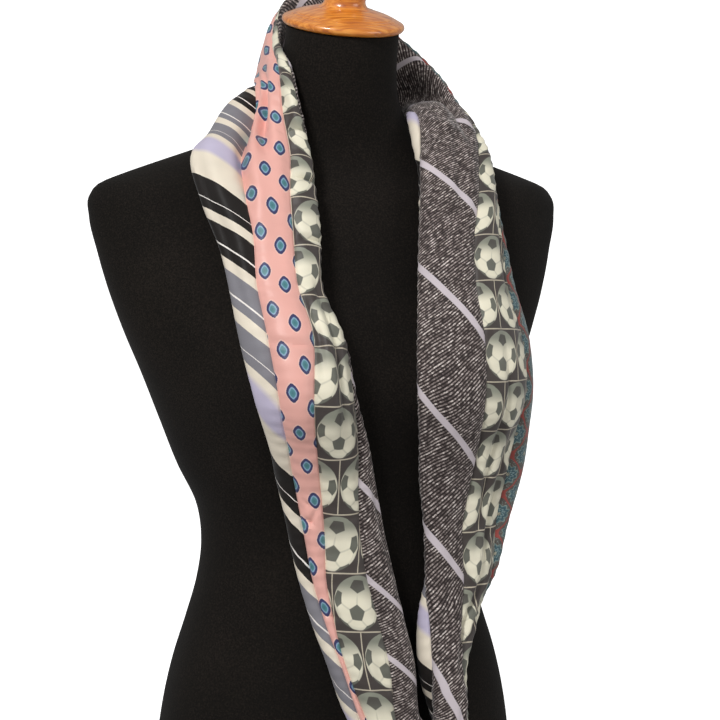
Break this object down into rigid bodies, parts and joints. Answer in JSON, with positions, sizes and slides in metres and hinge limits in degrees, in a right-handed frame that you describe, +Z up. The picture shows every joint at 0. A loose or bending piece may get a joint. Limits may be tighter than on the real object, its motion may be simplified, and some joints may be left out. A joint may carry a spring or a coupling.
{
  "type": "infinity scarf on a dress form",
  "caption": "Infinity scarf, a closed tube of opened neckties sewn side by side, worn round the neck of a limbless dress form with a turned wooden neck cap.",
  "frame": {"origin": "middle of the part's box, on the flat base that the dress form stands on", "axes": "+Z up along the dress form, -Y the way its front faces, +X its left side"},
  "size_m": [0.4158, 0.268, 0.7263],
  "materials": {
    "jersey": "matt black knit jersey",
    "cap_wood": "varnished turned wood",
    "tweed_silk": "matt necktie cloth with a tweed fleck and thin light stripes",
    "stripe_silk": "satin necktie silk with diagonal stripes",
    "dot_silk": "satin pink necktie silk with small medallions",
    "ball_silk": "printed necktie silk with footballs in squares",
    "medallion_silk": "printed necktie silk with rosettes in a wavy red lattice"
  },
  "bodies": {
    "root": {"form_body": "jersey", "neck_cap": "cap_wood", "tweed_left": "tweed_silk", "stripe_left": "stripe_silk", "dot_left": "dot_silk", "ball_left": "ball_silk", "tweed_right": "tweed_silk", "stripe_right": "stripe_silk", "medallion_right": "medallion_silk", "ball_right": "ball_silk"}
  },
  "joints": []
}
